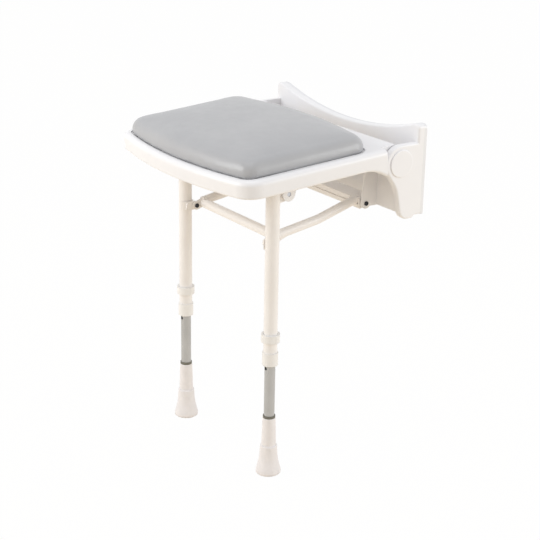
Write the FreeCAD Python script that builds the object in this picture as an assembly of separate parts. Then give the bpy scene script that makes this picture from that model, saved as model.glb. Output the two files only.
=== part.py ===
import FreeCAD, Part

import math
import os

from FreeCAD import Vector

# Fold down wall seat, millimetres, +Z up.
# X runs along the wall, the wall face is the plane y = 0 and the seat reaches out along -Y.
# Heights are written above the floor; every piece is lowered by mount_height when it is
# written, so the origin lies at the centre of the wall screws.

# Places of the four parallel pivots
mount_height = 540.0
hinge_reach = 57.0
hinge_height = 582.0
linkage_drop = 92.0
linkage_lean = 13.0
leg_pivot_reach = 258.5
leg_pivot_drop = 41.0
seat_slope = 4.0

# Cushion
pad_width_front = 405.0
pad_width_rear = 415.0
pad_front_edge = 339.0
pad_rear_edge = 38.0
pad_front_bow = 24.0
pad_rear_bow = 27.0
pad_front_corner = 24.0
pad_rear_corner = 27.0
pad_corner_softening = 0.3
pad_edge_height = 30.0
pad_crown = 8.0
pad_round = 17.0
pad_foot_draw = 2.0
pad_round_share = 0.68
pad_round_turn = 78.0
pad_level_steps = 4
pad_crown_inset = 105.0
board_thickness = 5.0
board_inset = 14.0
board_play = 0.1
board_screw_radius = 2.4
board_screw_head_radius = 5.0
board_screw_length = 8.0

# Seat shell
rim_margin = 17.0
rim_front_margin = 14.0
rim_foot = 1.5
rim_height = 32.0
rim_front_corner = 38.0
rim_top_radius = 10.0
rim_foot_radius = 4.5
rim_wall = 5.5
shell_wall = 3.5
recess_depth = 3.0
recess_play = 1.0
rib_thickness = 3.0
rib_height = 18.0
cross_rib_spacing = 62.0
front_rib_gap = 64.0
neck_play = 2.0
neck_overhang = 3.0
rim_end_play = 2.0
rim_heel_start = 85.0
rim_heel_radius = 80.0
rim_run_on = 20.0
neck_lap = 20.0
knuckle_radius = 14.5
knuckle_length = 58.0
leg_boss_width = 26.0
leg_boss_plate = 4.0
leg_boss_radius = 13.0
leg_boss_root_radius = 18.0
leg_boss_root_back = 12.0

# Wall plate and bracket
bracket_overhang = 12.5
wall_plate_thickness = 6.0
back_wall_thickness = 13.0
bracket_foot = 480.0
cheek_foot_drop = 5.0
cheek_foot_rise = 12.0
horn_rise = 65.0
horn_dip = 31.0
horn_flat = 16.0
horn_corner = 7.0
horn_shoulder = 24.0
bracket_edge_radius = 3.5
cheek_thickness = 12.0
hub_radius = 33.0
hub_leave_angle = 35.0
cheek_waist_height = 535.0
cheek_waist_radius = 60.0
cheek_foot_reach = 51.8
cheek_foot_radius = 20.0
lug_thickness = 5.0
lug_end_radius = 10.0
lug_top_radius = 16.0
lug_root_drop = 6.0
lug_play = 2.0
tower_reach = 46.0
tower_foot = 485.0
tower_top = 562.0
tower_wall = 3.0
tower_width = 66.0
wall_screw_spacing_x = 200.0
wall_screw_spacing_z = 80.0
wall_screw_radius = 4.0
screw_pocket_radius = 11.0
screw_pocket_depth = 7.0

# Hinge
hinge_pin_radius = 6.0
running_fit = 0.05
open_pivot_play = 0.1
bush_wall = 2.0
bush_length = 14.0
bush_flange = 1.5
cap_radius = 25.0
cap_thickness = 2.5
ring_thickness = 1.2
ring_band = 3.0

# Legs
leg_offset = 25.5
leg_tube_radius = 12.7
leg_tube_wall = 1.5
leg_tube_rise = 19.0
leg_tube_bottom = 222.0
leg_plug_rise = 2.5
knuckle_play = 0.3
leg_knuckle_radius = 11.0
leg_knuckle_root_radius = 16.0
leg_pin_radius = 4.0
leg_pin_head_sink = 1.0
lug_saddle_height = 17.0
lug_saddle_wall = 2.5
lug_saddle_reach = 7.0
lug_ear_thickness = 4.0
lug_ear_radius = 8.0
lug_ear_step = 6.0
sleeve_height = 22.0
sleeve_lip = 2.5
sleeve_wall = 1.9
clip_height = 15.0
clip_band = 4.2
clip_top = 280.0
clip_pin_radius = 3.2
clip_pin_reach = 1.2
clip_play = 0.3

# Inner tube and foot
inner_tube_radius = 10.0
inner_tube_wall = 1.4
inner_tube_inside = 150.0
hole_radius = 3.6
hole_count = 6
hole_below_sleeve = 9.0
holes_to_clip = 2
foot_height = 113.0
foot_socket_height = 56.0
foot_socket_wall = 2.2
foot_socket_draft = 1.5
foot_ledge = 2.2
foot_base_radius = 23.5
foot_base_flange = 5.0
foot_tread_count = 20
foot_tread_width = 1.4
foot_tread_depth = 0.8
foot_floor = 8.0
washer_ring_height = 4.5
washer_ring_wall = 1.6

# Strut frame
arm_inset = 12.0
arm_to_leg = 22.0
arm_radius = 8.5
arm_wall = 1.5
arm_front_back = 13.0
arm_front_rise = 7.5
arm_middle_back = 103.5
arm_middle_rise = 22.0
arm_rear_rise = 6.0
arm_bend_radius = 110.0
arm_tab_thickness = 3.0
arm_tab_radius = 8.5
arm_tab_overlap = 20.0
crossbar_radius = 9.0
crossbar_set_back = 16.0
crossbar_rise = 3.0
channel_height = 22.0
channel_rise = 3.5
channel_depth = 24.0
channel_groove = 4.0
channel_groove_depth = 2.0
channel_lip = 6.0
channel_sheet = 2.5
channel_end_play = 1.0
channel_lap = 6.0
nut_play = 0.3
pivot_bolt_radius = 3.0
bolt_head_radius = 4.3
bolt_head_height = 2.6
nut_height = 3.5
nut_corner_share = 1.6

# Worked out places
slope = math.radians(seat_slope)
hinge = Vector(0, -hinge_reach, hinge_height)
horn_top = hinge_height + horn_rise
leg_pivot_height = hinge_height - leg_pivot_drop
leg_tube_top = leg_pivot_height + leg_tube_rise
leg_pivot = Vector(0, -leg_pivot_reach, leg_pivot_height)
link_step = Vector(0, -linkage_lean, -linkage_drop)
strut_pivot = hinge + link_step
strut_end = leg_pivot + link_step
leg_axis_y = -(leg_pivot_reach + leg_offset)
cheek_outer = pad_width_rear / 2 + bracket_overhang
cheek_inner = cheek_outer - cheek_thickness
body_back = -wall_plate_thickness
body_front = -(wall_plate_thickness + back_wall_thickness)
deck_top = rim_foot + rim_height
deck_under = deck_top - recess_depth - shell_wall
recess_floor = deck_top - recess_depth
neck_half = cheek_inner - neck_play
rim_end = hub_radius + rim_end_play
lug_outer = cheek_inner - tower_width
lug_inner = lug_outer - lug_thickness
knuckle_outer = neck_half
knuckle_inner = knuckle_outer - knuckle_length
pin_inner = lug_inner - ring_thickness - 2.0
arm_x = lug_inner - arm_inset
leg_x = arm_x + arm_to_leg
ear_inner = leg_x - leg_tube_radius - lug_ear_step
clip_middle = clip_top - clip_height / 2
hole_pitch = (clip_middle - leg_tube_bottom + hole_below_sleeve) / holes_to_clip
strut_nut_start = lug_inner - channel_end_play - channel_sheet - nut_play
bore_play = 0.3


def box(x0, x1, y0, y1, z0, z1):
    """A box from its two corners, given in any order."""
    low = Vector(min(x0, x1), min(y0, y1), min(z0, z1))
    return Part.makeBox(abs(x1 - x0), abs(y1 - y0), abs(z1 - z0), low)


def rod_x(radius, x0, x1, centre):
    """A round bar along X about a point in the YZ plane."""
    low = min(x0, x1)
    return Part.makeCylinder(radius, abs(x1 - x0), Vector(low, centre.y, centre.z), Vector(1, 0, 0))


def rod_y(radius, y0, y1, x, z):
    """A round bar along Y."""
    low = min(y0, y1)
    return Part.makeCylinder(radius, abs(y1 - y0), Vector(x, low, z), Vector(0, 1, 0))


def rod_z(radius, z0, z1, x, y):
    """A round bar along Z."""
    low = min(z0, z1)
    return Part.makeCylinder(radius, abs(z1 - z0), Vector(x, y, low), Vector(0, 0, 1))


def tube_z(outer, inner, z0, z1, x, y):
    """A round tube along Z."""
    return rod_z(outer, z0, z1, x, y).cut(rod_z(inner, z0 - 1, z1 + 1, x, y))


def side_plate(wire, x0, x1):
    """A plate cut to an outline in the YZ plane, from x0 to x1."""
    low = min(x0, x1)
    face = Part.Face(wire)
    plate = face.extrude(Vector(abs(x1 - x0), 0, 0))
    plate.translate(Vector(low, 0, 0))
    return plate


def link_outline(first, first_radius, second, second_radius):
    """Outline in the YZ plane round two circles, with their outer tangent lines."""
    gap = second - first
    length = gap.Length
    along = Vector(gap).normalize()
    across = Vector(0, -along.z, along.y)
    lean = math.asin((first_radius - second_radius) / length)

    def touch(centre, radius, sign):
        return centre + (along * math.sin(lean) + across * (sign * math.cos(lean))) * radius

    a0 = touch(first, first_radius, 1)
    a1 = first - along * first_radius
    a2 = touch(first, first_radius, -1)
    b0 = touch(second, second_radius, -1)
    b1 = second + along * second_radius
    b2 = touch(second, second_radius, 1)
    edges = [
        Part.Arc(a0, a1, a2).toShape(),
        Part.LineSegment(a2, b0).toShape(),
        Part.Arc(b0, b1, b2).toShape(),
        Part.LineSegment(b2, a0).toShape(),
    ]
    return Part.Wire(edges)


def rounded_path(corners):
    """Closed outline of straight runs joined by tangent arcs, from (point, radius) pairs."""
    touches = []
    count = len(corners)
    for index in range(count):
        point, radius = corners[index]
        before = corners[index - 1][0]
        after = corners[(index + 1) % count][0]
        back = (before - point).normalize()
        ahead = (after - point).normalize()
        if radius == 0:
            touches.append((point, None, point))
            continue
        half = back.getAngle(ahead) / 2
        reach = radius / math.tan(half)
        way = (back + ahead).normalize()
        centre = point + way * (radius / math.sin(half))
        touches.append((point + back * reach, centre - way * radius, point + ahead * reach))
    edges = []
    for index in range(count):
        start, middle, end = touches[index]
        if middle is not None:
            edges.append(Part.Arc(start, middle, end).toShape())
        next_start = touches[(index + 1) % count][0]
        if (next_start - end).Length > 0.001:
            edges.append(Part.LineSegment(end, next_start).toShape())
    return Part.Wire(edges)


def mirrored(shape):
    """The same piece on the other side of the seat."""
    return shape.mirror(Vector(0, 0, 0), Vector(1, 0, 0))


def seat_place(shape):
    """Turn a piece drawn level about the hinge line to the slope of the seat."""
    placed = shape.copy()
    placed.translate(hinge)
    placed.rotate(hinge, Vector(1, 0, 0), seat_slope)
    return placed


def seat_local(point):
    """A point of the room, seen from the hinge line in the level frame of the seat."""
    gap = point - hinge
    return Vector(
        gap.x,
        gap.y * math.cos(slope) + gap.z * math.sin(slope),
        -gap.y * math.sin(slope) + gap.z * math.cos(slope),
    )


def bow_radius(half_width, bow):
    """Radius of the arc that rises by bow over a chord."""
    return (half_width ** 2 + bow ** 2) / (2 * bow)


def soft_corner(first, last, centre_y, arc_radius, radius, rear):
    """Corner arc between a bowed edge and a straight side, tangent to both.

    The side runs from first to last on the right, the bowed edge is a circle about
    (0, centre_y). Returns the touch on the bow, the middle and the touch on the side.
    """
    along = (last - first).normalize()
    inward = Vector(-along.y, along.x, 0)
    bow_centre = Vector(0, centre_y, first.z)
    gap = first + inward * radius - bow_centre
    half = gap.dot(along)
    span = math.sqrt(half ** 2 - gap.dot(gap) + (arc_radius - radius) ** 2)
    shift = -half + span if rear else -half - span
    centre = first + inward * radius + along * shift
    outward = (centre - bow_centre).normalize()
    touch_bow = centre + outward * radius
    touch_side = centre - inward * radius
    middle = centre + (outward - inward).normalize() * radius
    return touch_bow, middle, touch_side


def flipped(point):
    """The same point on the left side."""
    return Vector(-point.x, point.y, point.z)


def side_line(offset, height):
    """Right side of the cushion outline, moved outward by an offset: front end and rear end."""
    front = Vector(pad_width_front / 2, -pad_front_edge + pad_front_bow, height)
    rear = Vector(pad_width_rear / 2, -pad_rear_edge - pad_rear_bow, height)
    along = (rear - front).normalize()
    outward = Vector(along.y, -along.x, 0)
    return front + outward * offset, rear + outward * offset


def pad_outline(inset, height):
    """Outline of the cushion at a height, drawn in by an inset, as eight tangent arcs and lines."""
    front_arc = bow_radius(pad_width_front / 2, pad_front_bow)
    rear_arc = bow_radius(pad_width_rear / 2, pad_rear_bow)
    front_y = -pad_front_edge + front_arc
    rear_y = -pad_rear_edge - rear_arc
    side_front, side_rear = side_line(-inset, height)
    front_radius = pad_front_corner + inset * pad_corner_softening
    rear_radius = pad_rear_corner + inset * pad_corner_softening
    front = soft_corner(side_front, side_rear, front_y, front_arc - inset, front_radius, False)
    rear = soft_corner(side_front, side_rear, rear_y, rear_arc - inset, rear_radius, True)
    front_middle = Vector(0, -pad_front_edge + inset, height)
    rear_middle = Vector(0, -pad_rear_edge - inset, height)
    edges = [
        Part.Arc(flipped(front[0]), front_middle, front[0]).toShape(),
        Part.Arc(front[0], front[1], front[2]).toShape(),
        Part.LineSegment(front[2], rear[2]).toShape(),
        Part.Arc(rear[2], rear[1], rear[0]).toShape(),
        Part.Arc(rear[0], rear_middle, flipped(rear[0])).toShape(),
        Part.Arc(flipped(rear[0]), flipped(rear[1]), flipped(rear[2])).toShape(),
        Part.LineSegment(flipped(rear[2]), flipped(front[2])).toShape(),
        Part.Arc(flipped(front[2]), flipped(front[1]), flipped(front[0])).toShape(),
    ]
    return Part.Wire(edges)


def pad_prism(inset, z0, z1):
    """A level slab with the outline of the cushion."""
    face = Part.Face(pad_outline(inset, z0))
    return face.extrude(Vector(0, 0, z1 - z0))


def rim_outline(inset, height):
    """Outline of the seat's rim, run on behind the hinge line with straight sides."""
    margin = rim_margin - inset
    front_arc = bow_radius(pad_width_front / 2, pad_front_bow)
    side_front, side_rear = side_line(margin, height)
    along = (side_rear - side_front).normalize()
    end = side_front + along * ((rim_run_on - side_front.y) / along.y)
    radius = rim_front_corner - inset
    centre_y = front_arc - pad_front_edge + rim_margin - rim_front_margin
    front = soft_corner(side_front, side_rear, centre_y, front_arc + margin, radius, False)
    front_middle = Vector(0, centre_y - front_arc - margin, height)
    edges = [
        Part.Arc(flipped(front[0]), front_middle, front[0]).toShape(),
        Part.Arc(front[0], front[1], front[2]).toShape(),
        Part.LineSegment(front[2], end).toShape(),
        Part.LineSegment(end, flipped(end)).toShape(),
        Part.LineSegment(flipped(end), flipped(front[2])).toShape(),
        Part.Arc(flipped(front[2]), flipped(front[1]), flipped(front[0])).toShape(),
    ]
    return Part.Wire(edges)


def rim_slab(inset, z0, z1):
    """A level slab with the outline of the rim."""
    return Part.Face(rim_outline(inset, z0)).extrude(Vector(0, 0, z1 - z0))


def neck_slab(inset, z0, z1):
    """A level slab between the cheeks, from the rim back over the hinge."""
    half = neck_half - inset
    return box(-half, half, -rim_end - neck_lap, -neck_overhang - inset, z0, z1)


def under_rim():
    """Space below the rim in side view: level, then curving down along the heel by the hub."""
    turn = math.acos(1 - (rim_heel_start - rim_end) / (2 * rim_heel_radius))
    start = Vector(0, -rim_heel_start, rim_foot)
    middle_turn = turn / 2
    middle = start + Vector(0, math.sin(middle_turn), math.cos(middle_turn) - 1) * rim_heel_radius
    end = start + Vector(0, math.sin(turn), math.cos(turn) - 1) * rim_heel_radius
    floor = end.z - rim_heel_radius
    front = Vector(0, -2 * pad_front_edge, rim_foot)
    edges = [
        Part.LineSegment(front, start).toShape(),
        Part.Arc(start, middle, end).toShape(),
        Part.LineSegment(end, Vector(0, end.y, floor)).toShape(),
        Part.LineSegment(Vector(0, end.y, floor), Vector(0, front.y, floor)).toShape(),
        Part.LineSegment(Vector(0, front.y, floor), front).toShape(),
    ]
    return side_plate(Part.Wire(edges), -pad_width_rear, pad_width_rear), end.z


def rim_body():
    """Solid rim with a rounded upper edge and a smaller rounding below, cut off at the hubs."""
    space, heel_foot = under_rim()
    slab = rim_slab(0, heel_foot - 1, deck_top).cut(space)
    half = pad_width_rear + rim_margin
    slab = slab.cut(box(-half, half, -rim_end, rim_run_on + 1, heel_foot - 2, deck_top + 1))
    top_edges = []
    foot_edges = []
    for edge in slab.Edges:
        span = edge.BoundBox
        if span.YMin > -rim_end - 0.01:
            continue
        if span.ZMin > deck_top - 0.01:
            top_edges.append(edge)
        elif span.ZMax < rim_foot + 0.01 and (span.XLength < half or span.YLength > 1):
            foot_edges.append(edge)
    return slab.makeFillet(rim_top_radius, top_edges).makeFillet(rim_foot_radius, foot_edges)


def shell_inside(z0, z1, wall):
    """Space inside the rim and the neck between two heights."""
    half = pad_width_rear + rim_margin
    room = rim_slab(wall, z0, z1)
    room = room.cut(box(-half, half, -rim_end - wall, rim_run_on + 1, z0 - 1, z1 + 1))
    return room.fuse(neck_slab(shell_wall, z0, z1))



def shell_ribs():
    """Stiffening ribs under the deck, lengthwise and crosswise."""
    local_leg = seat_local(leg_pivot)
    foot = deck_under - rib_height
    top = deck_under + 0.5
    half = pad_width_rear / 2 + rim_margin
    deep = pad_front_edge + rim_margin
    ribs = []
    for side in (-1, 1):
        x = side * (cross_rib_spacing + rib_thickness / 2)
        ribs.append(box(x - rib_thickness / 2, x + rib_thickness / 2, -deep, 0, foot, top))
    behind_boss = local_leg.y + leg_boss_root_back + leg_boss_root_radius + rib_thickness
    for y in (-pad_rear_edge - pad_rear_bow, behind_boss, local_leg.y - front_rib_gap):
        ribs.append(box(-half, half, y - rib_thickness, y, foot, top))
    return ribs


def leg_boss():
    """Two hanging plates under the right side of the seat that hold the leg's pin."""
    place = seat_local(leg_pivot)
    centre = Vector(0, place.y, place.z)
    root = Vector(0, place.y + leg_boss_root_back, deck_under + 0.4)
    wire = link_outline(centre, leg_boss_radius, root, leg_boss_root_radius)
    plates = []
    for side in (-1, 1):
        outer = leg_x + side * leg_boss_width / 2
        plates.append(side_plate(wire, outer, outer - side * leg_boss_plate))
    limit = box(0, 2 * leg_x, place.y - leg_offset, 0, place.z - 2 * leg_boss_radius, deck_under + 0.5)
    return [plate.common(limit) for plate in plates]


def seat_shell():
    """Moulded shell: rounded rim, recess for the cushion, ribs, knuckles and leg bosses."""
    body = rim_body().fuse(neck_slab(0, rim_foot, deck_top))
    body = body.cut(shell_inside(rim_foot - 1, deck_under, rim_wall))
    body = body.cut(pad_prism(-recess_play, recess_floor, deck_top + 1))
    inside = shell_inside(deck_under - rib_height, deck_under + 0.5, rim_wall - 0.5)
    for rib in shell_ribs():
        body = body.fuse(rib.common(inside))
    zero = Vector(0, 0, 0)
    web_top = Vector(0, -knuckle_radius, deck_under + 0.5)
    web = side_plate(link_outline(zero, knuckle_radius, web_top, 2.0), knuckle_inner, knuckle_outer)
    for piece in [web] + leg_boss():
        body = body.fuse(piece)
        body = body.fuse(mirrored(piece))
    wide = pad_width_rear
    body = body.cut(box(-wide, wide, -neck_overhang, knuckle_radius * 2, deck_under - 1, deck_top + 2))
    body = body.cut(rod_x(hinge_pin_radius + bush_wall, -wide, wide, zero))
    notch = lug_top_radius + lug_play
    body = body.cut(box(-knuckle_inner, knuckle_inner, -notch, notch, -notch, notch))
    place = seat_local(leg_pivot)
    bore = rod_x(leg_pin_radius + running_fit, -wide, wide, Vector(0, place.y, place.z))
    body = body.cut(bore)
    for x, y in board_screw_places():
        body = body.cut(rod_z(board_screw_radius + 0.2, deck_under - 1, recess_floor + 1, x, y))
    return seat_place(body.removeSplitter())


def board_screw_places():
    """Places of the screws that hold the cushion board, in the level frame of the seat."""
    reach_x = pad_width_front / 2 - 3 * board_inset
    front = -pad_front_edge + 3 * board_inset + 6
    rear = -pad_rear_edge - pad_rear_bow - 1.6 * board_inset
    return [(-reach_x, front), (reach_x, front), (-reach_x, rear), (reach_x, rear)]


def pad_board():
    """Stiff board inside the cushion."""
    top = recess_floor + board_thickness
    board = pad_prism(board_inset, recess_floor, top)
    for x, y in board_screw_places():
        board = board.cut(rod_z(board_screw_radius, recess_floor - 1, top + 1, x, y))
    return seat_place(board)


def pad_screws():
    """Screws from below, through the shell into the board."""
    screws = []
    for x, y in board_screw_places():
        shank = rod_z(board_screw_radius, deck_under - 0.1, deck_under - 0.1 + board_screw_length, x, y)
        head = rod_z(board_screw_head_radius, deck_under - 2.4, deck_under, x, y)
        screws.append(seat_place(head.fuse(shank)))
    return Part.makeCompound(screws)


def seat_pad():
    """Crowned cushion with rounded, drawn-in sides, hollowed below for its board."""
    foot = recess_floor + board_play / 2
    top = foot + pad_edge_height
    levels = [
        (pad_foot_draw, foot),
        (pad_foot_draw / 4, foot + pad_edge_height / 8),
        (0.0, foot + pad_edge_height * (0.95 - pad_round_share)),
    ]
    round_rise = pad_edge_height * pad_round_share
    for step in range(1, pad_level_steps + 1):
        angle = math.radians(pad_round_turn) * step / pad_level_steps
        levels.append((pad_round * (1 - math.cos(angle)), top - round_rise * (1 - math.sin(angle))))
    start_inset, start_height = levels[-1]
    for step in range(1, pad_level_steps + 1):
        share = step / pad_level_steps
        rise = pad_crown * math.sin(math.radians(90) * share)
        levels.append((start_inset + (pad_crown_inset - start_inset) * share, start_height + rise))
    wires = [pad_outline(inset, height) for inset, height in levels]
    cushion = Part.makeLoft(wires, True, True)
    pocket_top = foot + board_thickness
    pocket = pad_prism(board_inset - board_play, foot - 1, pocket_top)
    return seat_place(cushion.cut(pocket))


def horn_outline():
    """Front view of the wall plate and back wall: two horns joined by a hollowed top edge."""
    half = cheek_outer
    flat_in = half - horn_flat
    flat_out = half - horn_corner
    side_end = horn_top - horn_corner
    low = Vector(0, 0, horn_top - horn_dip)
    turn = horn_corner * (1 - math.sqrt(0.5))

    def p(x, z):
        return Vector(x, 0, z)

    edges = [
        Part.LineSegment(p(-half, bracket_foot), p(half, bracket_foot)).toShape(),
        Part.LineSegment(p(half, bracket_foot), p(half, side_end)).toShape(),
        Part.Arc(p(half, side_end), p(half - turn, horn_top - turn), p(flat_out, horn_top)).toShape(),
        Part.LineSegment(p(flat_out, horn_top), p(flat_in, horn_top)).toShape(),
        Part.Arc(p(flat_in, horn_top), low, p(-flat_in, horn_top)).toShape(),
        Part.LineSegment(p(-flat_in, horn_top), p(-flat_out, horn_top)).toShape(),
        Part.Arc(p(-flat_out, horn_top), p(-half + turn, horn_top - turn), p(-half, side_end)).toShape(),
        Part.LineSegment(p(-half, side_end), p(-half, bracket_foot)).toShape(),
    ]
    return Part.Wire(edges)


def horn_slab(y0, y1):
    """A slab of the bracket's front view between two depths, its horn shoulders rounded."""
    face = Part.Face(horn_outline())
    slab = face.extrude(Vector(0, y1 - y0, 0))
    slab.translate(Vector(0, y0, 0))
    shoulders = []
    for edge in slab.Edges:
        span = edge.BoundBox
        lengthwise = span.YLength > abs(y1 - y0) - 0.01
        at_shoulder = abs(abs(span.Center.x) - cheek_outer + horn_flat) < 0.01
        if lengthwise and at_shoulder and span.Center.z > horn_top - 0.01:
            shoulders.append(edge)
    return slab.makeFillet(horn_shoulder, shoulders)


def wall_screw_places():
    """Places of the wall screws, as x and height."""
    places = []
    for x in (-wall_screw_spacing_x / 2, wall_screw_spacing_x / 2):
        for z in (-wall_screw_spacing_z / 2, wall_screw_spacing_z / 2):
            places.append((x, mount_height + z))
    return places


def wall_plate():
    """Steel plate between the bracket body and the wall."""
    plate = horn_slab(body_back, 0)
    for x, z in wall_screw_places():
        plate = plate.cut(rod_y(wall_screw_radius + bore_play, body_back - 1, 1, x, z))
    return plate


def cheek_outline():
    """Side view of a cheek: round hub at the hinge, waist below it and a rounded foot."""
    back = body_front + 1.0
    leave = math.radians(hub_leave_angle)
    hub_top = Vector(0, hinge.y, hinge.z + hub_radius)
    hub_front = Vector(0, hinge.y - hub_radius, hinge.z)
    hub_high = Vector(0, hinge.y - hub_radius * math.sqrt(0.5), hinge.z + hub_radius * math.sqrt(0.5))
    hub_low = Vector(0, hinge.y - hub_radius * math.cos(leave), hinge.z - hub_radius * math.sin(leave))
    half = leave / 2
    hub_mid = Vector(0, hinge.y - hub_radius * math.cos(half), hinge.z - hub_radius * math.sin(half))
    run = (cheek_waist_height - hub_low.z) / -math.cos(leave)
    waist = hub_low + Vector(0, math.sin(leave), -math.cos(leave)) * run
    corners = [
        (hub_low, 0),
        (waist, cheek_waist_radius),
        (Vector(0, -cheek_foot_reach, bracket_foot - cheek_foot_drop), cheek_foot_radius),
        (Vector(0, body_front - cheek_foot_rise / 2, bracket_foot - cheek_foot_drop), cheek_foot_rise),
        (Vector(0, back, bracket_foot), 0),
        (Vector(0, back, hub_top.z), 0),
        (hub_top, 0),
    ]
    edges = list(rounded_path(corners).Edges)
    edges = edges[:-1]
    edges.append(Part.Arc(hub_top, hub_high, hub_front).toShape())
    edges.append(Part.Arc(hub_front, hub_mid, hub_low).toShape())
    return Part.Wire(Part.__sortEdges__(edges))


def lug_plate():
    """Inner lug of one side, from the hinge down to the strut pivot and back to the wall."""
    run = link_outline(strut_pivot, lug_end_radius, hinge, lug_top_radius)
    plate = side_plate(run, lug_inner, lug_outer)
    foot = strut_pivot.z - lug_root_drop
    root = box(lug_inner, lug_outer, body_front - 1, strut_pivot.y, foot, hinge.z - 8)
    return plate.fuse(root)


def tower():
    """Hollow box between the lug and the cheek, open below."""
    shell = box(lug_outer - 1, cheek_inner + 1, -tower_reach, body_front + 1, tower_foot, tower_top)
    hollow = box(
        lug_outer,
        cheek_inner,
        -tower_reach + tower_wall,
        body_front,
        tower_foot - 1,
        tower_top - tower_wall,
    )
    return shell.cut(hollow)


def softened_outline(body):
    """Round the bracket's outer edges: the side faces in front of the wall plate and the top."""
    edges = []
    for edge in body.Edges:
        span = edge.BoundBox
        on_side = abs(span.Center.x) > cheek_outer - 0.01 and span.XLength < 0.01
        in_front = span.YMax > body_back - 0.01 and span.YLength < 0.01
        on_front = span.YLength < 0.01 and abs(span.YMax - body_front) < 0.01
        above = span.ZMax > horn_top - horn_dip - 0.01 and span.ZMin > horn_top - horn_dip - 1.0
        if (on_side and not in_front) or (on_front and above and not on_side):
            edges.append(edge)
    return body.makeFillet(bracket_edge_radius, edges)


def bracket_body():
    """Moulded bracket: back wall, cheeks, inner lugs and towers."""
    body = horn_slab(body_front, body_back)
    cheek = side_plate(cheek_outline(), cheek_inner, cheek_outer)
    for piece in (cheek, lug_plate(), tower()):
        body = body.fuse(piece)
        body = body.fuse(mirrored(piece))
    body = softened_outline(body.removeSplitter())
    bore = hinge_pin_radius + running_fit
    body = body.cut(rod_x(bore, -cheek_outer - 1, cheek_outer + 1, hinge))
    body = body.cut(rod_x(pivot_bolt_radius + running_fit, -lug_outer - 1, lug_outer + 1, strut_pivot))
    for x, z in wall_screw_places():
        body = body.cut(rod_y(wall_screw_radius + bore_play, body_front - 1, body_back + 1, x, z))
        body = body.cut(rod_y(screw_pocket_radius, body_front - 1, body_front + screw_pocket_depth, x, z))
    return body.removeSplitter()


def hinge_pin():
    """Pin from the cheek through the knuckle to the inner lug."""
    pin = rod_x(hinge_pin_radius, pin_inner, cheek_outer - 0.5, hinge)
    groove = rod_x(hinge_pin_radius + 1, lug_inner - ring_thickness - 0.2, lug_inner - 0.2, hinge)
    neck = rod_x(hinge_pin_radius - 0.8, pin_inner - 1, lug_inner, hinge)
    return pin.cut(groove.cut(neck))


def hinge_ring():
    """Retaining ring on the inner end of the hinge pin."""
    outer = rod_x(hinge_pin_radius + ring_band, lug_inner - ring_thickness - 0.2, lug_inner - 0.2, hinge)
    bore = rod_x(hinge_pin_radius - 0.75, lug_inner - 10, lug_inner + 10, hinge)
    gap = box(lug_inner - 10, lug_inner + 10, hinge.y - 2.5, hinge.y + 2.5, hinge.z - 20, hinge.z)
    return outer.cut(bore).cut(gap)


def hinge_cap():
    """Round cap over the hinge on the outside of a cheek."""
    cap = rod_x(cap_radius, cheek_outer, cheek_outer + cap_thickness, hinge)
    edges = [e for e in cap.Edges if e.BoundBox.XMin > cheek_outer + cap_thickness - 0.1]
    return cap.makeFillet(cap_thickness * 0.6, edges)


def hinge_bush(side_outer):
    """Flanged bush at one end of a knuckle, running on the pin."""
    end = knuckle_outer if side_outer else knuckle_inner
    inward = -1 if side_outer else 1
    body = rod_x(hinge_pin_radius + bush_wall - 0.02, end, end + inward * bush_length, hinge)
    flange = rod_x(hinge_pin_radius + bush_wall + 3, end, end - inward * bush_flange, hinge)
    bore = rod_x(hinge_pin_radius + running_fit, knuckle_inner - 20, knuckle_outer + 20, hinge)
    return body.fuse(flange).cut(bore)


def bolt_x(centre, radius, head_x, end_x):
    """Button head bolt along X, its head at head_x and its shank running to end_x."""
    way = 1 if end_x > head_x else -1
    head = rod_x(bolt_head_radius, head_x - way * bolt_head_height, head_x, centre)
    top_x = head_x - way * bolt_head_height
    edges = [e for e in head.Edges if abs(e.BoundBox.Center.x - top_x) < 0.1]
    head = head.makeFillet(bolt_head_height * 0.55, edges)
    socket = rod_x(bolt_head_radius * 0.4, top_x - way, top_x + way * bolt_head_height * 0.6, centre)
    shank = rod_x(radius, head_x - way * 0.5, end_x, centre)
    return head.cut(socket).fuse(shank)


def nut_x(centre, radius, x0, x1):
    """Hexagon nut along X."""
    corners = []
    low = min(x0, x1)
    reach = nut_corner_share * radius
    for step in range(7):
        angle = math.radians(60 * step)
        y = centre.y + reach * math.cos(angle)
        z = centre.z + reach * math.sin(angle)
        corners.append(Vector(low, y, z))
    nut = Part.Face(Part.makePolygon(corners)).extrude(Vector(abs(x1 - x0), 0, 0))
    return nut.cut(rod_x(radius, low - 1, low + abs(x1 - x0) + 1, centre))


def strut_bolt():
    """Bolt of the right lug into the end plate of the rear channel."""
    return bolt_x(strut_pivot, pivot_bolt_radius, lug_outer, strut_nut_start - nut_height - 1)


def leg_tube():
    """Outer leg tube with the hole for the height clip."""
    inner = leg_tube_radius - leg_tube_wall
    tube = tube_z(leg_tube_radius, inner, leg_tube_bottom, leg_tube_top, leg_x, leg_axis_y)
    hole = rod_y(clip_pin_radius + clip_play, leg_axis_y - 2 * leg_tube_radius, leg_axis_y, leg_x, clip_middle)
    return tube.cut(hole)


def leg_plug():
    """Plug in the top of the outer tube."""
    inner = leg_tube_radius - leg_tube_wall
    plug = rod_z(inner - 0.02, leg_tube_top - 10, leg_tube_top, leg_x, leg_axis_y)
    dome = rod_z(leg_tube_radius, leg_tube_top, leg_tube_top + leg_plug_rise, leg_x, leg_axis_y)
    top = leg_tube_top + leg_plug_rise
    edges = [e for e in dome.Edges if e.BoundBox.ZMin > top - 0.1]
    return plug.fuse(dome.makeFillet(leg_plug_rise * 0.7, edges))


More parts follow.
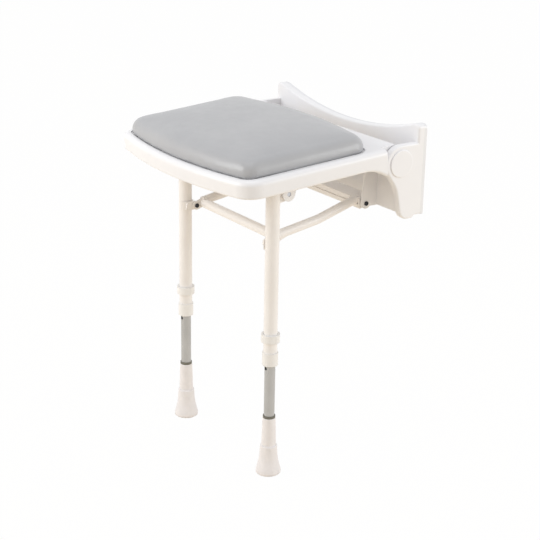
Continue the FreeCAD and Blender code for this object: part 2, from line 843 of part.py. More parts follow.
def leg_knuckle():
    """Solid head behind the tube top that turns between the two boss plates."""
    half = leg_boss_width / 2 - leg_boss_plate - knuckle_play
    root = Vector(0, leg_axis_y, leg_pivot.z)
    wire = link_outline(root, leg_knuckle_root_radius, leg_pivot, leg_knuckle_radius)
    block = side_plate(wire, leg_x - half, leg_x + half)
    block = block.cut(box(0, 2 * leg_x, leg_axis_y - leg_offset, leg_axis_y, 0, 2 * leg_pivot.z))
    block = block.cut(rod_z(leg_tube_radius, 0, 2 * leg_pivot.z, leg_x, leg_axis_y))
    return block.cut(rod_x(leg_pin_radius + running_fit, 0, 2 * leg_x, leg_pivot))


def leg_pin():
    """Leg pivot pin, a little shorter than the boss is wide."""
    half = leg_boss_width / 2 - leg_pin_head_sink
    return rod_x(leg_pin_radius, leg_x - half, leg_x + half, leg_pivot)


def strut_lug():
    """Saddle on the inner side of the leg with one ear behind it for the strut bolt."""
    foot = strut_end.z - lug_saddle_height / 2
    top = strut_end.z + lug_saddle_height / 2
    saddle = tube_z(leg_tube_radius + lug_saddle_wall, leg_tube_radius, foot, top, leg_x, leg_axis_y)
    ear_outer = ear_inner + lug_ear_thickness
    saddle = saddle.common(box(ear_inner, leg_x - lug_saddle_reach, -2 * leg_pivot_reach, 0, foot, top))
    root = Vector(0, leg_axis_y, strut_end.z)
    ear = side_plate(link_outline(root, lug_ear_radius, strut_end, lug_ear_radius), ear_inner, ear_outer)
    filler = box(ear_outer - 1, leg_x, leg_axis_y - lug_saddle_reach, leg_axis_y + 2, foot + 1, top - 1)
    nut_room = rod_x((nut_corner_share + 0.4) * pivot_bolt_radius, ear_outer, leg_x, strut_end)
    shape = saddle.fuse(filler).cut(nut_room).fuse(ear)
    shape = shape.cut(rod_z(leg_tube_radius, foot - 1, top + 1, leg_x, leg_axis_y))
    bore = rod_x(pivot_bolt_radius + running_fit, 0, leg_x, strut_end)
    return shape.cut(bore).removeSplitter()


def lug_bolt():
    """Bolt from the inner side, through the strut tab and the leg ear."""
    head_x = ear_inner - arm_tab_thickness - 2 * knuckle_play
    end_x = ear_inner + lug_ear_thickness + nut_height + 1
    return bolt_x(strut_end, pivot_bolt_radius, head_x, end_x)


def lug_nut():
    """Nut on the outer side of the leg ear."""
    start = ear_inner + lug_ear_thickness
    return nut_x(strut_end, pivot_bolt_radius, start, start + nut_height)


def leg_sleeve():
    """Moulded sleeve on the lower end of the outer tube, lining it for the inner tube."""
    outer = tube_z(
        leg_tube_radius + sleeve_wall,
        leg_tube_radius + 0.02,
        leg_tube_bottom,
        leg_tube_bottom + sleeve_height,
        leg_x,
        leg_axis_y,
    )
    lip = tube_z(
        leg_tube_radius + sleeve_wall,
        inner_tube_radius + running_fit,
        leg_tube_bottom - sleeve_lip,
        leg_tube_bottom,
        leg_x,
        leg_axis_y,
    )
    lining = tube_z(
        leg_tube_radius - leg_tube_wall - 0.02,
        inner_tube_radius + running_fit,
        leg_tube_bottom,
        leg_tube_bottom + sleeve_height,
        leg_x,
        leg_axis_y,
    )
    return outer.fuse(lip).fuse(lining)


def height_clip():
    """Front half ring with a pin, pushed on the outer tube from the front."""
    foot = clip_top - clip_height
    inside = leg_tube_radius + clip_play
    ring = tube_z(inside + clip_band, inside, foot, clip_top, leg_x, leg_axis_y)
    half = 2 * leg_tube_radius
    rear = box(leg_x - half, leg_x + half, leg_axis_y - clip_play, leg_axis_y + half, foot - 1, clip_top + 1)
    ring = ring.cut(rear)
    root = leg_axis_y - inside - clip_band / 2
    pin = rod_y(clip_pin_radius, root, leg_axis_y - leg_tube_radius + clip_pin_reach, leg_x, clip_middle)
    return ring.fuse(pin).removeSplitter()


def clip_guide():
    """Rear half ring fixed to the outer tube, which the clip closes to a full ring."""
    foot = clip_top - clip_height
    outer = leg_tube_radius + clip_play + clip_band
    ring = tube_z(outer, leg_tube_radius, foot, clip_top, leg_x, leg_axis_y)
    half = 2 * leg_tube_radius
    return ring.cut(box(leg_x - half, leg_x + half, leg_axis_y - half, leg_axis_y, foot - 1, clip_top + 1))


def inner_tube():
    """Aluminium inner tube with a row of height holes in its front and back walls."""
    top = leg_tube_bottom + inner_tube_inside
    inner = inner_tube_radius - inner_tube_wall
    tube = tube_z(inner_tube_radius, inner, foot_floor + 0.5, top, leg_x, leg_axis_y)
    for step in range(hole_count):
        z = clip_middle + (step - holes_to_clip) * hole_pitch
        tube = tube.cut(rod_y(hole_radius, leg_axis_y - 20, leg_axis_y + 20, leg_x, z))
    return tube


def inner_tube_plug():
    """Small plug that closes the top of the inner tube."""
    top = leg_tube_bottom + inner_tube_inside
    inner = inner_tube_radius - inner_tube_wall
    return rod_z(inner - 0.02, top - 8, top + 1.5, leg_x, leg_axis_y)


def foot_ring():
    """Dark ring between the aluminium tube and the foot."""
    return tube_z(
        inner_tube_radius + washer_ring_wall,
        inner_tube_radius + 0.02,
        foot_height,
        foot_height + washer_ring_height,
        leg_x,
        leg_axis_y,
    )


def rubber_foot():
    """Rubber foot: drawn-in socket, ledge, flared skirt and a flanged base with treads."""
    socket = inner_tube_radius + foot_socket_wall
    low_socket = socket + foot_socket_draft
    ledge = low_socket + foot_ledge
    step_z = foot_height - foot_socket_height
    base = foot_base_radius
    flare = Part.BSplineCurve()
    flare.interpolate([
        Vector(base, 0, foot_base_flange),
        Vector(base - 1.6, 0, foot_base_flange + 7),
        Vector(base - 4.4, 0, foot_base_flange + 18),
        Vector(ledge + 0.6, 0, step_z - 14),
        Vector(ledge, 0, step_z - 1.5),
    ])
    runs = [
        (Vector(0, 0, 0), Vector(base - 1.5, 0, 0)),
        (Vector(base - 1.5, 0, 0), Vector(base, 0, 1.5)),
        (Vector(base, 0, 1.5), Vector(base, 0, foot_base_flange)),
        None,
        (Vector(ledge, 0, step_z - 1.5), Vector(ledge - 0.8, 0, step_z)),
        (Vector(ledge - 0.8, 0, step_z), Vector(low_socket, 0, step_z)),
        (Vector(low_socket, 0, step_z), Vector(socket, 0, foot_height - 1.0)),
        (Vector(socket, 0, foot_height - 1.0), Vector(socket - 0.8, 0, foot_height)),
        (Vector(socket - 0.8, 0, foot_height), Vector(0, 0, foot_height)),
        (Vector(0, 0, foot_height), Vector(0, 0, 0)),
    ]
    edges = [flare.toShape() if run is None else Part.LineSegment(*run).toShape() for run in runs]
    foot = Part.Face(Part.Wire(edges)).revolve(Vector(0, 0, 0), Vector(0, 0, 1), 360)
    foot = foot.cut(rod_z(inner_tube_radius, foot_floor, foot_height + 1, 0, 0))
    half = foot_tread_width / 2
    tread = box(base - foot_tread_depth, base + 2, -half, half, -1, foot_base_flange * 0.6)
    for step in range(foot_tread_count):
        cut = tread.copy()
        cut.rotate(Vector(0, 0, 0), Vector(0, 0, 1), 360 * step / foot_tread_count)
        foot = foot.cut(cut)
    for radius in (base * 0.4, base * 0.62, base * 0.82):
        foot = foot.cut(tube_z(radius + 1.0, radius - 1.0, -1, 1.2, 0, 0))
    foot.translate(Vector(leg_x, leg_axis_y, 0))
    return foot


def arm_points():
    """Centre line of the right strut arm: front end, bend and rear end at the channel."""
    front = Vector(arm_x, strut_end.y + arm_front_back, strut_end.z + arm_front_rise)
    middle = Vector(arm_x, strut_end.y + arm_middle_back, strut_end.z + arm_middle_rise)
    rear = Vector(arm_x, strut_pivot.y - channel_depth / 2, strut_pivot.z + arm_rear_rise)
    return front, middle, rear


def arm_path():
    """Centre line as two straight runs joined by one tangent arc, and the way it starts."""
    front, middle, rear = arm_points()
    to_front = (front - middle).normalize()
    to_rear = (rear - middle).normalize()
    half = to_front.getAngle(to_rear) / 2
    reach = arm_bend_radius / math.tan(half)
    a = middle + to_front * reach
    b = middle + to_rear * reach
    way = (to_front + to_rear).normalize()
    centre = middle + way * (arm_bend_radius / math.sin(half))
    mid = centre - way * arm_bend_radius
    edges = [
        Part.LineSegment(front, a).toShape(),
        Part.Arc(a, mid, b).toShape(),
        Part.LineSegment(b, rear + to_rear * channel_lap).toShape(),
    ]
    return Part.Wire(edges), -to_front


def arm_sweep(radius):
    """Round bar along the arm's centre line."""
    path, way = arm_path()
    start = path.Edges[0].Vertexes[0].Point
    ring = Part.Wire(Part.Circle(start, way, radius).toShape())
    return path.makePipeShell([ring], True, False)


def strut_arm():
    """Bent tube with a flat tab welded into its front end for the leg bolt."""
    outer = arm_sweep(arm_radius)
    bore = arm_sweep(arm_radius - arm_wall)
    front, middle, rear = arm_points()
    along = (middle - front).normalize()
    tab_far = front + along * arm_tab_overlap
    tab_x = ear_inner - knuckle_play
    wire = link_outline(
        Vector(0, strut_end.y, strut_end.z),
        arm_tab_radius,
        Vector(0, tab_far.y, tab_far.z),
        arm_radius - arm_wall / 2,
    )
    tab = side_plate(wire, tab_x - arm_tab_thickness, tab_x)
    end_cap = Part.makeCylinder(arm_radius, arm_wall, front, along)
    tube = outer.cut(bore).fuse(end_cap)
    swing = lug_ear_radius + arm_wall
    ear_room = rod_x(swing, tab_x, leg_x, strut_end)
    hole = rod_x(pivot_bolt_radius + open_pivot_play, 0, leg_x, strut_end)
    channel = channel_solid()
    return tube.fuse(tab).cut(ear_room).cut(hole).cut(channel).removeSplitter()


def crossbar_centre():
    """Point of the crossbar near the arm's front end, seen from the side."""
    return Vector(0, strut_end.y + crossbar_set_back, strut_end.z + crossbar_rise)


def strut_crossbar():
    """Front crossbar between the two arms."""
    centre = crossbar_centre()
    bar = rod_x(crossbar_radius, -arm_x, arm_x, centre)
    bore = rod_x(crossbar_radius - arm_wall, -arm_x - 1, arm_x + 1, centre)
    arm = arm_sweep(arm_radius + 0.02).fuse(strut_arm())
    bar = bar.cut(bore).cut(arm).cut(mirrored(arm))
    solids = sorted(bar.Solids, key=lambda s: s.Volume)
    return solids[-1]


def channel_placed(shape):
    """Turn a piece drawn level about the strut pivot to the lean of the channel."""
    front, middle, rear = arm_points()
    lean = math.degrees(math.atan2(rear.z - middle.z, rear.y - middle.y))
    placed = shape.copy()
    placed.translate(Vector(0, 0, channel_rise))
    placed.rotate(Vector(0, 0, 0), Vector(1, 0, 0), lean)
    placed.translate(strut_pivot)
    return placed


def channel_solid():
    """Outer block of the channel, used to end the arms on its front face."""
    half_y = channel_depth / 2
    half_z = channel_height / 2
    end = lug_inner - channel_end_play
    return channel_placed(box(-end, end, -half_y, half_y, -half_z, half_z))


def strut_channel():
    """Folded channel at the rear of the strut frame: grooved front, open to the wall."""
    half_y = channel_depth / 2
    half_z = channel_height / 2
    end = lug_inner - channel_end_play
    t = channel_sheet
    g = channel_groove / 2
    d = channel_groove_depth
    section = [
        (half_y, half_z),
        (-half_y, half_z),
        (-half_y, g),
        (-half_y + d, g),
        (-half_y + d, -g),
        (-half_y, -g),
        (-half_y, -half_z),
        (half_y, -half_z),
        (half_y, -half_z + channel_lip),
        (half_y - t, -half_z + channel_lip),
        (half_y - t, -half_z + t),
        (-half_y + t, -half_z + t),
        (-half_y + t, -g - t),
        (-half_y + d + t, -g - t),
        (-half_y + d + t, g + t),
        (-half_y + t, g + t),
        (-half_y + t, half_z - t),
        (half_y - t, half_z - t),
        (half_y - t, half_z - channel_lip),
        (half_y, half_z - channel_lip),
        (half_y, half_z),
    ]
    points = [Vector(0, y, z) for y, z in section]
    channel = Part.Face(Part.makePolygon(points)).extrude(Vector(2 * end, 0, 0))
    channel.translate(Vector(-end, 0, 0))
    for side in (-1, 1):
        plate = box(side * end, side * (end - t), -half_y, half_y, -half_z, half_z)
        channel = channel.fuse(plate)
    channel = channel_placed(channel)
    for side in (-1, 1):
        bore = rod_x(pivot_bolt_radius + running_fit, side * (end + 1), side * (end - t - 1), strut_pivot)
        channel = channel.cut(bore)
    return channel.removeSplitter()


def strut_nut():
    """Nut inside the channel's end plate."""
    return nut_x(strut_pivot, pivot_bolt_radius, strut_nut_start - nut_height, strut_nut_start)


def write(name, shape):
    """Lower a piece from floor heights to the wall origin and write its file."""
    placed = shape.copy()
    placed.translate(Vector(0, 0, -mount_height))
    placed.exportStep("parts/" + name + ".step")


def write_pair(name, shape):
    """Write the right-hand piece and its mirror image."""
    write(name + "_right", shape)
    write(name + "_left", mirrored(shape))


def main():
    os.makedirs("parts", exist_ok=True)
    write("wall_plate", wall_plate())
    write("bracket_body", bracket_body())
    write("seat_shell", seat_shell())
    write("seat_pad", seat_pad())
    write("pad_board", pad_board())
    write("pad_screws", pad_screws())
    write("strut_crossbar", strut_crossbar())
    write("strut_channel", strut_channel())
    pairs = {
        "hinge_pin": hinge_pin(),
        "hinge_ring": hinge_ring(),
        "hinge_cap": hinge_cap(),
        "hinge_bush_outer": hinge_bush(True),
        "hinge_bush_inner": hinge_bush(False),
        "strut_bolt": strut_bolt(),
        "strut_nut": strut_nut(),
        "leg_tube": leg_tube(),
        "leg_plug": leg_plug(),
        "leg_knuckle": leg_knuckle(),
        "leg_pin": leg_pin(),
        "strut_lug": strut_lug(),
        "lug_bolt": lug_bolt(),
        "lug_nut": lug_nut(),
        "leg_sleeve": leg_sleeve(),
        "height_clip": height_clip(),
        "clip_guide": clip_guide(),
        "inner_tube": inner_tube(),
        "inner_tube_plug": inner_tube_plug(),
        "foot_ring": foot_ring(),
        "rubber_foot": rubber_foot(),
        "strut_arm": strut_arm(),
    }
    for name, shape in pairs.items():
        write_pair(name, shape)


main()
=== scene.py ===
import logging
import math
from collections.abc import Iterable, Sequence
from dataclasses import dataclass, field
from enum import Enum

import bmesh
import bpy
from mathutils import Matrix, Vector


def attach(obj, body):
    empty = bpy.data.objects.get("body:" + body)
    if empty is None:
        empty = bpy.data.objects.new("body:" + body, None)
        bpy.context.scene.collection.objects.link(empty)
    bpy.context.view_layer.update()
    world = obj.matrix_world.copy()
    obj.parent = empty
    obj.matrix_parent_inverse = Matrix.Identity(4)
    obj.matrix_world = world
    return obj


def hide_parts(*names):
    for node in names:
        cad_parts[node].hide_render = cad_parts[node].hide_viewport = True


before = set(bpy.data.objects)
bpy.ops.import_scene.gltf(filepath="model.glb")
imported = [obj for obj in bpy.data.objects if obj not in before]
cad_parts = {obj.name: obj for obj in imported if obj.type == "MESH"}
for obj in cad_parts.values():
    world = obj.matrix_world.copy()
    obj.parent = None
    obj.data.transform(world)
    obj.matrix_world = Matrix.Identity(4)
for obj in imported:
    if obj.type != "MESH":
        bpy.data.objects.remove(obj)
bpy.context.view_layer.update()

log = logging.getLogger("wall_seat")

FLOOR_HEIGHT = -0.540
HINGE = Vector((0.0, -0.057, 0.042))
SEAT_SLOPE = math.radians(4.0)


class Side(Enum):
    """The two mirrored halves of the seat."""

    RIGHT = 1
    LEFT = -1

    @property
    def suffix(self) -> str:
        """The ending of this side's node names."""
        return self.name.lower()


class ShaderGraph:
    """A material with a principled shader and short helpers to feed it."""

    def __init__(self, name: str) -> None:
        """Start an empty material.

        Args:
            name: Name of the material.
        """
        self.material = bpy.data.materials.new(name)
        self.material.use_nodes = True
        self.tree = self.material.node_tree
        self.shader = self.tree.nodes["Principled BSDF"]
        self.place = self.add("ShaderNodeTexCoord").outputs["Object"]

    def add(self, kind: str, **settings: object) -> bpy.types.Node:
        """Add a node and set its own properties.

        Args:
            kind: Blender's name of the node type.
            settings: Properties of the node.

        Returns:
            The new node.
        """
        node = self.tree.nodes.new(kind)
        for name, value in settings.items():
            setattr(node, name, value)
        return node

    def link(self, source: bpy.types.NodeSocket, target: bpy.types.NodeSocket) -> None:
        """Join an output to an input."""
        self.tree.links.new(source, target)

    def constant(self, socket: str, value: object) -> None:
        """Set a number or colour on the shader's own socket."""
        self.shader.inputs[socket].default_value = value

    def stretched(self, scale: Sequence[float]) -> bpy.types.NodeSocket:
        """Object coordinates in metres, stretched per axis.

        Args:
            scale: Factor along X, Y and Z.

        Returns:
            The stretched coordinates.
        """
        mapping = self.add("ShaderNodeMapping")
        mapping.inputs["Scale"].default_value = scale
        self.link(self.place, mapping.inputs["Vector"])
        return mapping.outputs["Vector"]

    def noise(
        self,
        scale: float,
        detail: float = 3.0,
        roughness: float = 0.5,
        place: bpy.types.NodeSocket | None = None,
    ) -> bpy.types.NodeSocket:
        """A noise value over the surface.

        Args:
            scale: Bumps per metre.
            detail: Octaves of the noise.
            roughness: Share of the finer octaves.
            place: Coordinates, or None for plain object coordinates.

        Returns:
            The noise value from 0 to 1.
        """
        node = self.add("ShaderNodeTexNoise")
        node.inputs["Scale"].default_value = scale
        node.inputs["Detail"].default_value = detail
        node.inputs["Roughness"].default_value = roughness
        self.link(place or self.place, node.inputs["Vector"])
        return node.outputs["Fac"]

    def cells(self, scale: float, feature: str = "F1") -> bpy.types.NodeSocket:
        """Distance to the nearest of scattered cell centres.

        Args:
            scale: Cells per metre.
            feature: Blender's name of the distance that is read.

        Returns:
            The distance value.
        """
        node = self.add("ShaderNodeTexVoronoi", feature=feature)
        node.inputs["Scale"].default_value = scale
        self.link(self.place, node.inputs["Vector"])
        return node.outputs["Distance"]

    def remap(
        self, value: bpy.types.NodeSocket, low: float, high: float, to_low: float, to_high: float
    ) -> bpy.types.NodeSocket:
        """Scale a value from one range to another, held at its ends.

        Args:
            value: The value to scale.
            low: Start of its range.
            high: End of its range.
            to_low: Start of the new range.
            to_high: End of the new range.

        Returns:
            The scaled value.
        """
        node = self.add("ShaderNodeMapRange")
        node.inputs["From Min"].default_value = low
        node.inputs["From Max"].default_value = high
        node.inputs["To Min"].default_value = to_low
        node.inputs["To Max"].default_value = to_high
        self.link(value, node.inputs["Value"])
        return node.outputs["Result"]

    def mixed(
        self, share: bpy.types.NodeSocket, first: Sequence[float], second: Sequence[float]
    ) -> bpy.types.NodeSocket:
        """Blend two colours by a value.

        Args:
            share: 0 gives the first colour, 1 the second.
            first: Linear red, green and blue.
            second: Linear red, green and blue.

        Returns:
            The mixed colour.
        """
        node = self.add("ShaderNodeMix", data_type="RGBA")
        node.inputs[6].default_value = (*first, 1.0)
        node.inputs[7].default_value = (*second, 1.0)
        self.link(share, node.inputs[0])
        return node.outputs[2]

    def relief(
        self,
        heights: Iterable[tuple[bpy.types.NodeSocket, float]],
        edge_round: float = 0.0,
    ) -> None:
        """Raise the surface by one or more height values, one after another.

        Args:
            heights: Pairs of a height value and its depth in metres.
            edge_round: Radius by which sharp edges look rounded, or 0.
        """
        normal = None
        if edge_round > 0:
            bevel = self.add("ShaderNodeBevel", samples=6)
            bevel.inputs["Radius"].default_value = edge_round
            normal = bevel.outputs["Normal"]
        for height, depth in heights:
            bump = self.add("ShaderNodeBump")
            bump.inputs["Strength"].default_value = 1.0
            bump.inputs["Distance"].default_value = depth
            self.link(height, bump.inputs["Height"])
            if normal is not None:
                self.link(normal, bump.inputs["Normal"])
            normal = bump.outputs["Normal"]
        if normal is not None:
            self.link(normal, self.shader.inputs["Normal"])


@dataclass(frozen=True)
class Moulding:
    """Moulded plastic: soft gloss, faint flow marks and a fine spark texture."""

    name: str
    colour: tuple[float, float, float]
    shade: tuple[float, float, float]
    gloss_rough: float = 0.28
    matt_rough: float = 0.42
    texture_depth: float = 0.00002
    sink_depth: float = 0.0004
    edge_round: float = 0.0012

    def material(self) -> bpy.types.Material:
        """Build the node material.

        Returns:
            The finished material.
        """
        graph = ShaderGraph(self.name)
        cloud = graph.noise(9.0, 4.0)
        graph.link(
            graph.mixed(graph.remap(cloud, 0.35, 0.7, 0.0, 1.0), self.colour, self.shade),
            graph.shader.inputs["Base Color"],
        )
        rub = graph.noise(38.0, 6.0, 0.65)
        graph.link(
            graph.remap(rub, 0.3, 0.75, self.gloss_rough, self.matt_rough),
            graph.shader.inputs["Roughness"],
        )
        spark = graph.noise(1500.0, 2.0)
        sink = graph.noise(24.0, 2.0)
        graph.relief([(sink, self.sink_depth), (spark, self.texture_depth)], self.edge_round)
        graph.constant("Specular IOR Level", 0.5)
        return graph.material


@dataclass(frozen=True)
class PowderCoat:
    """Powder coated steel: orange peel, slight sag of tone and a clear gloss."""

    name: str
    colour: tuple[float, float, float]
    shade: tuple[float, float, float]
    peel_scale: float = 700.0
    peel_depth: float = 0.00005
    rough: float = 0.32
    rough_spread: float = 0.16
    edge_round: float = 0.0006
    coat: float = 0.25
    coat_rough: float = 0.15

    def material(self) -> bpy.types.Material:
        """Build the node material.

        Returns:
            The finished material.
        """
        graph = ShaderGraph(self.name)
        cloud = graph.noise(14.0, 5.0)
        graph.link(
            graph.mixed(graph.remap(cloud, 0.35, 0.7, 0.0, 1.0), self.colour, self.shade),
            graph.shader.inputs["Base Color"],
        )
        peel = graph.noise(self.peel_scale, 2.0)
        scuff = graph.noise(60.0, 8.0, 0.7)
        graph.link(
            graph.remap(scuff, 0.35, 0.8, self.rough, self.rough + self.rough_spread),
            graph.shader.inputs["Roughness"],
        )
        graph.relief([(peel, self.peel_depth)], self.edge_round)
        graph.constant("Coat Weight", self.coat)
        graph.constant("Coat Roughness", self.coat_rough)
        return graph.material


@dataclass(frozen=True)
class Vinyl:
    """Upholstery vinyl: fine leather grain, faint wear and a thin glossy top coat."""

    name: str
    colour: tuple[float, float, float]
    worn: tuple[float, float, float]
    grain_scale: float = 620.0
    grain_depth: float = 0.00016
    pore_depth: float = 0.00003
    drape_depth: float = 0.0009
    gloss_rough: float = 0.34
    matt_rough: float = 0.50
    coat: float = 0.22
    coat_rough: float = 0.16

    def material(self) -> bpy.types.Material:
        """Build the node material.

        Returns:
            The finished material.
        """
        graph = ShaderGraph(self.name)
        wear = graph.noise(11.0, 5.0, 0.6)
        graph.link(
            graph.mixed(graph.remap(wear, 0.35, 0.72, 0.0, 1.0), self.colour, self.worn),
            graph.shader.inputs["Base Color"],
        )
        grain = graph.cells(self.grain_scale, "SMOOTH_F1")
        pores = graph.noise(2300.0, 2.0)
        drape = graph.noise(26.0, 2.0)
        polish = graph.noise(45.0, 6.0, 0.6)
        graph.link(
            graph.remap(polish, 0.3, 0.75, self.gloss_rough, self.matt_rough),
            graph.shader.inputs["Roughness"],
        )
        graph.relief(
            [(drape, self.drape_depth), (grain, self.grain_depth), (pores, self.pore_depth)]
        )
        graph.constant("Coat Weight", self.coat)
        graph.constant("Coat Roughness", self.coat_rough)
        return graph.material


@dataclass(frozen=True)
class Metal:
    """Bare or plated metal with fine marks drawn along one axis."""

    name: str
    colour: tuple[float, float, float]
    shade: tuple[float, float, float]
    stretch: tuple[float, float, float] = (1.0, 1.0, 1.0)
    metallic: float = 1.0
    low_rough: float = 0.24
    high_rough: float = 0.42
    mark_depth: float = 0.00002
    edge_round: float = 0.0003

    def material(self) -> bpy.types.Material:
        """Build the node material.

        Returns:
            The finished material.
        """
        graph = ShaderGraph(self.name)
        drawn = graph.noise(900.0, 3.0, 0.6, graph.stretched(self.stretch))
        cloud = graph.noise(30.0, 5.0)
        graph.link(
            graph.mixed(graph.remap(cloud, 0.3, 0.75, 0.0, 1.0), self.colour, self.shade),
            graph.shader.inputs["Base Color"],
        )
        graph.link(
            graph.remap(drawn, 0.3, 0.7, self.low_rough, self.high_rough),
            graph.shader.inputs["Roughness"],
        )
        graph.relief([(drawn, self.mark_depth)], self.edge_round)
        graph.constant("Metallic", self.metallic)
        return graph.material


@dataclass(frozen=True)
class Rubber:
    """Off-white foot rubber: matt, slightly dusty low down."""

    name: str
    colour: tuple[float, float, float]
    dusty: tuple[float, float, float]
    low_rough: float = 0.50
    high_rough: float = 0.68
    grit_depth: float = 0.00006
    edge_round: float = 0.0005

    def material(self) -> bpy.types.Material:
        """Build the node material.

        Returns:
            The finished material.
        """
        graph = ShaderGraph(self.name)
        dust = graph.noise(70.0, 7.0, 0.65)
        graph.link(
            graph.mixed(graph.remap(dust, 0.4, 0.8, 0.0, 1.0), self.colour, self.dusty),
            graph.shader.inputs["Base Color"],
        )
        graph.link(
            graph.remap(dust, 0.3, 0.8, self.low_rough, self.high_rough),
            graph.shader.inputs["Roughness"],
        )
        graph.relief([(graph.noise(1100.0, 3.0), self.grit_depth)], self.edge_round)
        graph.constant("Specular IOR Level", 0.35)
        return graph.material


@dataclass(frozen=True)
class Plywood:
    """Sealed plywood of the cushion board."""

    name: str
    colour: tuple[float, float, float]
    dark: tuple[float, float, float]

    def material(self) -> bpy.types.Material:
        """Build the node material.

        Returns:
            The finished material.
        """
        graph = ShaderGraph(self.name)
        grain = graph.noise(55.0, 6.0, 0.6, graph.stretched((0.12, 3.0, 1.0)))
        graph.link(
            graph.mixed(graph.remap(grain, 0.3, 0.7, 0.0, 1.0), self.colour, self.dark),
            graph.shader.inputs["Base Color"],
        )
        graph.link(graph.remap(grain, 0.3, 0.7, 0.5, 0.7), graph.shader.inputs["Roughness"])
        graph.relief([(grain, 0.0001)])
        return graph.material


class Finish(Enum):
    """The finishes of the seat, each with its record slot as value."""

    WHITE_COAT = "white_coated_steel"
    WHITE_MOULDING = "white_moulding"
    VINYL = "grey_vinyl"
    BOARD = "board"
    ZINC = "zinc_steel"
    DARK_STEEL = "dark_steel"
    CREAM_COAT = "cream_coated_steel"
    WHITE_NYLON = "white_nylon"
    OFF_WHITE_NYLON = "off_white_nylon"
    ALUMINIUM = "bare_aluminium"
    GREY_MOULDING = "grey_moulding"
    RUBBER = "off_white_rubber"


FINISHES = {
    Finish.WHITE_COAT: PowderCoat("White_Powder_Coat", (0.82, 0.82, 0.83), (0.80, 0.80, 0.81)),
    Finish.WHITE_MOULDING: Moulding("White_Moulding", (0.88, 0.87, 0.875), (0.86, 0.85, 0.86)),
    Finish.VINYL: Vinyl("Grey_Vinyl", (0.415, 0.415, 0.425), (0.440, 0.440, 0.447)),
    Finish.BOARD: Plywood("Sealed_Plywood", (0.5, 0.36, 0.22), (0.36, 0.24, 0.13)),
    Finish.ZINC: Metal("Zinc_Plate", (0.62, 0.62, 0.63), (0.55, 0.55, 0.57)),
    Finish.DARK_STEEL: Metal(
        "Dark_Steel", (0.06, 0.06, 0.065), (0.035, 0.035, 0.04), metallic=0.8
    ),
    Finish.CREAM_COAT: PowderCoat("Cream_Powder_Coat", (0.90, 0.87, 0.845), (0.875, 0.84, 0.81)),
    Finish.WHITE_NYLON: Moulding(
        "White_Nylon", (0.80, 0.80, 0.79), (0.77, 0.77, 0.76), 0.4, 0.55
    ),
    Finish.OFF_WHITE_NYLON: Moulding(
        "Off_White_Nylon", (0.88, 0.865, 0.845), (0.86, 0.84, 0.815), 0.38, 0.52
    ),
    Finish.ALUMINIUM: Metal(
        "Drawn_Aluminium",
        (0.52, 0.51, 0.49),
        (0.46, 0.45, 0.43),
        stretch=(1.0, 1.0, 0.01),
        metallic=0.35,
        low_rough=0.3,
        high_rough=0.46,
    ),
    Finish.GREY_MOULDING: Moulding(
        "Grey_Moulding", (0.20, 0.19, 0.15), (0.15, 0.14, 0.11), 0.45, 0.6
    ),
    Finish.RUBBER: Rubber("Off_White_Rubber", (0.86, 0.83, 0.83), (0.80, 0.77, 0.765)),
}


@dataclass
class Wardrobe:
    """Makes each finish once and puts it on pieces."""

    made: dict[Finish, bpy.types.Material] = field(default_factory=dict)

    def material(self, finish: Finish) -> bpy.types.Material:
        """The material of a finish, built at its first use.

        Args:
            finish: The wanted finish.

        Returns:
            Its material, the same one at each call.
        """
        if finish not in self.made:
            self.made[finish] = FINISHES[finish].material()
        return self.made[finish]

    def dress(self, piece: bpy.types.Object, finish: Finish) -> None:
        """Give a whole piece one finish.

        Args:
            piece: A mesh object.
            finish: Its finish.
        """
        piece.data.materials.clear()
        piece.data.materials.append(self.material(finish))

    def dress_node(self, node: str, finish: Finish) -> None:
        """Give a node of the frame its finish.

        Args:
            node: Name of the node.
            finish: Its finish.
        """
        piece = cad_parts[node]
        if piece.material_slots:
            for slot in piece.material_slots:
                slot.link = "OBJECT"
                slot.material = self.material(finish)
        else:
            piece.data.materials.append(self.material(finish))
        log.info("dressed %s in %s", node, finish.value)


def seat_to_row() -> Matrix:
    """Turn points drawn level about the hinge line to their place on the seat."""
    return Matrix.Translation(HINGE) @ Matrix.Rotation(SEAT_SLOPE, 4, "X")


def mesh_piece(
    name: str,
    points: Sequence[Vector],
    faces: Sequence[Sequence[int]],
    place: Matrix | None = None,
    smooth: bool = True,
) -> bpy.types.Object:
    """Make a mesh object with outward faces.

    Args:
        name: Name of the piece.
        points: Corner points in metres.
        faces: Corner numbers of each face.
        place: Where the points go, or None to leave them.
        smooth: True for smooth shading.

    Returns:
        The new object, linked to the scene.
    """
    mesh = bpy.data.meshes.new(name)
    mesh.from_pydata([tuple(p) for p in points], [], [list(f) for f in faces])
    if place is not None:
        mesh.transform(place)
    work = bmesh.new()
    work.from_mesh(mesh)
    bmesh.ops.recalc_face_normals(work, faces=work.faces)
    work.to_mesh(mesh)
    work.free()
    if smooth:
        mesh.shade_smooth()
    else:
        mesh.shade_flat()
    piece = bpy.data.objects.new(name, mesh)
    bpy.context.scene.collection.objects.link(piece)
    return piece


